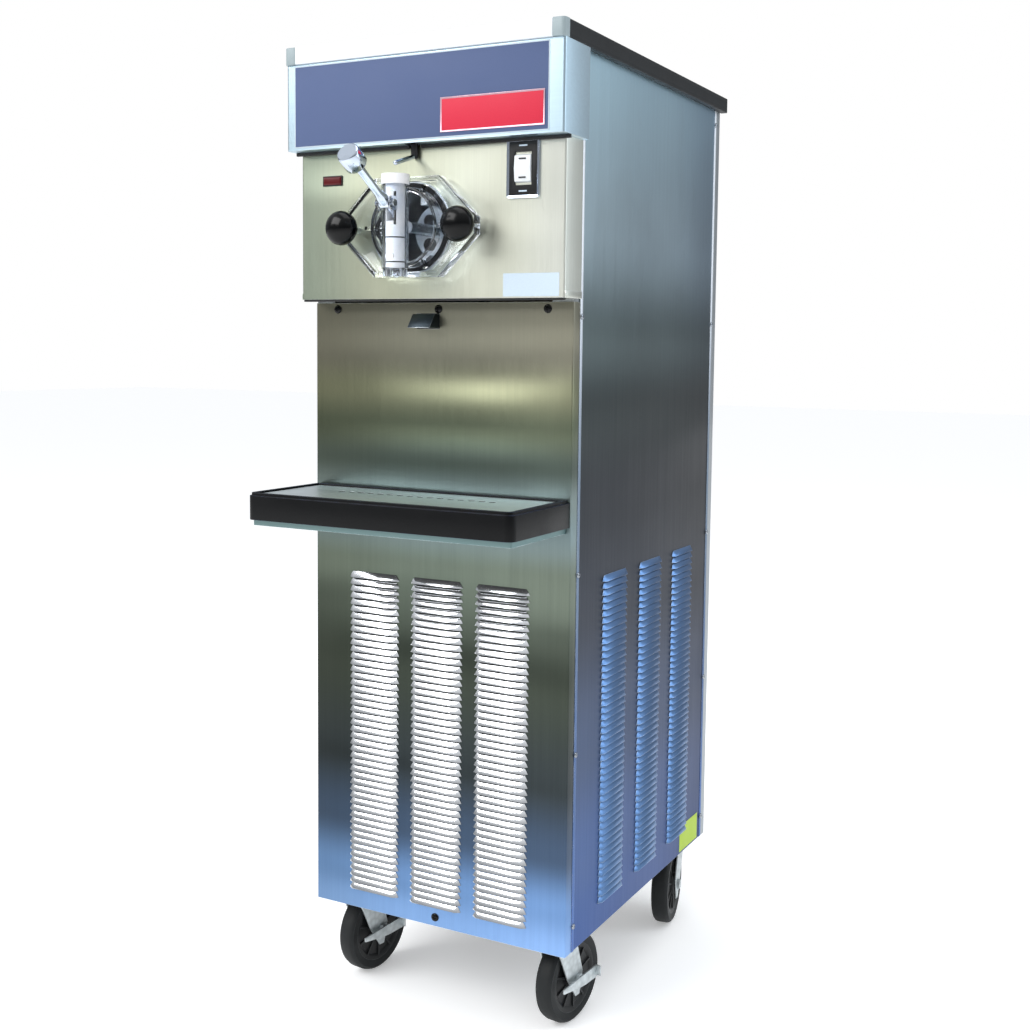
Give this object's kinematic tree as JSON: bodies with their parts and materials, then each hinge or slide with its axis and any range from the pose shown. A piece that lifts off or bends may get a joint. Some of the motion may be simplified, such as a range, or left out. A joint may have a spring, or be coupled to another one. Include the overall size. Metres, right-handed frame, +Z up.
{
  "type": "floor-standing soft ice cream machine",
  "caption": "Tall stainless soft ice cream machine on swivel casters, with a clear dispensing door, pull-down handle, drip tray and louvred lower panels.",
  "frame": {"origin": "on the floor under the middle of the whole machine, lid and handle at rest", "axes": "+Z up, front face towards -Y, +X to the right as the customer faces it"},
  "size_m": [0.4346, 0.7534, 1.3973],
  "materials": {
    "stainless": "brushed satin",
    "galvanised": "dull zinc",
    "zinc_bright": "bright zinc",
    "chrome": "polished",
    "fascia_paint": "satin film",
    "trim_white": "bright satin",
    "trim_black": "matt",
    "cap_grey": "satin",
    "black_plastic": "satin",
    "knob_black": "gloss",
    "clear_plastic": "polished polycarbonate",
    "white_plastic": "smooth",
    "red_lens": "translucent red",
    "seal_rubber": "smooth",
    "tyre_rubber": "dull",
    "foam": "open cell",
    "cast_iron": "painted casting",
    "machine_black": "semi-gloss enamel",
    "aluminium": "mill",
    "copper": "drawn tube"
  },
  "bodies": {
    "cabinet": {"base_frame": "galvanised", "corner_posts": "galvanised", "front_panel": "stainless", "left_side_panel": "stainless", "right_side_panel": "stainless", "rear_panel": "stainless", "head_panel": "stainless", "header_shell": "stainless", "header_fascia": "fascia_paint", "deck_panel": "stainless", "front_trim": "trim_white", "side_trims": "trim_black", "trim_corner_caps": "cap_grey", "panel_screws": "zinc_bright", "hopper": "stainless", "mix_feed_tube": "stainless", "freezing_cylinder": "stainless", "insulation_jacket": "foam", "dispense_door": "clear_plastic", "door_gasket": "seal_rubber", "handle_pivot_pin": "chrome", "switch_bezel": "black_plastic", "indicator_lens": "red_lens", "tray_shelf": "galvanised", "drive_motor": "machine_black", "drive_belt": "seal_rubber", "gearbox": "cast_iron", "compressor": "machine_black", "condenser": "aluminium", "fan_motor": "machine_black", "refrigerant_lines": "copper", "control_box": "galvanised", "cord_gland": "black_plastic", "caster_plates": "zinc_bright"},
    "lid": {"hopper_lid": "black_plastic"},
    "handle": {"dispense_handle": "chrome"},
    "plunger": {"plunger": "white_plastic", "plunger_rings": "seal_rubber"},
    "draw_lever": {"draw_switch_lever": "chrome"},
    "rocker": {"switch_rocker": "white_plastic"},
    "left_knob": {"left_knob": "knob_black"},
    "right_knob": {"right_knob": "knob_black"},
    "drawer": {"drip_drawer": "stainless"},
    "tray": {"drip_tray": "black_plastic"},
    "insert": {"tray_insert": "stainless"},
    "dasher": {"dasher": "stainless", "scraper_blades": "white_plastic"},
    "gearbox_pulley": {"gearbox_pulley": "cast_iron"},
    "motor_pulley": {"motor_pulley": "cast_iron"},
    "fan": {"condenser_fan": "aluminium"},
    "fork_fl": {"caster_fork_fl": "zinc_bright"},
    "wheel_fl": {"caster_wheel_fl": "tyre_rubber"},
    "brake_fl": {"caster_brake_fl": "zinc_bright"},
    "fork_fr": {"caster_fork_fr": "zinc_bright"},
    "wheel_fr": {"caster_wheel_fr": "tyre_rubber"},
    "brake_fr": {"caster_brake_fr": "zinc_bright"},
    "fork_rl": {"caster_fork_rl": "zinc_bright"},
    "wheel_rl": {"caster_wheel_rl": "tyre_rubber"},
    "fork_rr": {"caster_fork_rr": "zinc_bright"},
    "wheel_rr": {"caster_wheel_rr": "tyre_rubber"}
  },
  "joints": [
    {"name": "hopper_lid_lift", "type": "slide", "parent": "cabinet", "child": "lid", "axis": [0, 0, 1], "range_m": [0, 0.2]},
    {"name": "handle_pull", "type": "hinge", "parent": "cabinet", "child": "handle", "pos_m": [-0.017, -0.2833, 1.14], "axis": [1, 0, 0], "range_deg": [0, 45]},
    {"name": "plunger_slide", "type": "slide", "parent": "cabinet", "child": "plunger", "axis": [0, 0, 1], "range_m": [0, 0.021]},
    {"name": "draw_lever_swing", "type": "hinge", "parent": "cabinet", "child": "draw_lever", "pos_m": [-0.017, -0.2153, 1.238], "axis": [-1, 0, 0], "range_deg": [0, 14]},
    {"name": "switch_rock", "type": "hinge", "parent": "cabinet", "child": "rocker", "pos_m": [0.147, -0.2103, 1.185], "axis": [1, 0, 0], "range_deg": [-12, 12]},
    {"name": "left_knob_turn", "type": "hinge", "parent": "cabinet", "child": "left_knob", "pos_m": [-0.108, -0.25531, 1.113], "axis": [0, -1, 0], "continuous": true},
    {"name": "right_knob_turn", "type": "hinge", "parent": "cabinet", "child": "right_knob", "pos_m": [0.074, -0.25531, 1.113], "axis": [0, -1, 0], "continuous": true},
    {"name": "drip_drawer_slide", "type": "slide", "parent": "cabinet", "child": "drawer", "axis": [0, -1, 0], "range_m": [0, 0.14]},
    {"name": "drip_tray_lift", "type": "slide", "parent": "cabinet", "child": "tray", "axis": [0, 0, 1], "range_m": [0, 0.06]},
    {"name": "tray_insert_lift", "type": "slide", "parent": "tray", "child": "insert", "axis": [0, 0, 1], "range_m": [0, 0.08]},
    {"name": "gearbox_pulley_spin", "type": "hinge", "parent": "cabinet", "child": "gearbox_pulley", "pos_m": [-0.017, 0.2607, 1.113], "axis": [0, 1, 0], "continuous": true},
    {"name": "dasher_spin", "type": "hinge", "parent": "cabinet", "child": "dasher", "pos_m": [-0.017, -0.07931, 1.113], "axis": [0, 1, 0], "continuous": true},
    {"name": "motor_pulley_spin", "type": "hinge", "parent": "cabinet", "child": "motor_pulley", "pos_m": [-0.017, 0.2607, 0.77], "axis": [0, 1, 0], "continuous": true},
    {"name": "condenser_fan_spin", "type": "hinge", "parent": "cabinet", "child": "fan", "pos_m": [0, -0.09531, 0.34], "axis": [0, 1, 0], "continuous": true},
    {"name": "swivel_fl", "type": "hinge", "parent": "cabinet", "child": "fork_fl", "pos_m": [-0.1665, -0.13131, 0.13], "axis": [0, 0, 1], "continuous": true},
    {"name": "wheel_spin_fl", "type": "hinge", "parent": "fork_fl", "child": "wheel_fl", "pos_m": [-0.16177, -0.09764, 0.0635], "axis": [0.9903, -0.1392, 0], "continuous": true},
    {"name": "brake_press_fl", "type": "hinge", "parent": "fork_fl", "child": "brake_fl", "pos_m": [-0.16177, -0.09764, 0.0635], "axis": [0.9903, -0.1392, 0], "range_deg": [0, 18]},
    {"name": "swivel_fr", "type": "hinge", "parent": "cabinet", "child": "fork_fr", "pos_m": [0.1665, -0.13131, 0.13], "axis": [0, 0, 1], "continuous": true},
    {"name": "wheel_spin_fr", "type": "hinge", "parent": "fork_fr", "child": "wheel_fr", "pos_m": [0.17123, -0.09764, 0.0635], "axis": [0.9903, -0.1392, 0], "continuous": true},
    {"name": "brake_press_fr", "type": "hinge", "parent": "fork_fr", "child": "brake_fr", "pos_m": [0.17123, -0.09764, 0.0635], "axis": [0.9903, -0.1392, 0], "range_deg": [0, 18]},
    {"name": "swivel_rl", "type": "hinge", "parent": "cabinet", "child": "fork_rl", "pos_m": [-0.1665, 0.3127, 0.13], "axis": [0, 0, 1], "continuous": true},
    {"name": "wheel_spin_rl", "type": "hinge", "parent": "fork_rl", "child": "wheel_rl", "pos_m": [-0.1606, 0.27921, 0.0635], "axis": [-0.9848, -0.1736, 0], "continuous": true},
    {"name": "swivel_rr", "type": "hinge", "parent": "cabinet", "child": "fork_rr", "pos_m": [0.1665, 0.3127, 0.13], "axis": [0, 0, 1], "continuous": true},
    {"name": "wheel_spin_rr", "type": "hinge", "parent": "fork_rr", "child": "wheel_rr", "pos_m": [0.1724, 0.27921, 0.0635], "axis": [-0.9848, -0.1736, 0], "continuous": true}
  ],
  "couplings": [
    {"joint": "plunger_slide", "follows": "handle_pull", "m_per_rad": 0.025},
    {"joint": "draw_lever_swing", "follows": "handle_pull", "ratio": 0.3},
    {"joint": "dasher_spin", "follows": "gearbox_pulley_spin", "ratio": 0.25},
    {"joint": "motor_pulley_spin", "follows": "gearbox_pulley_spin", "ratio": 2}
  ]
}
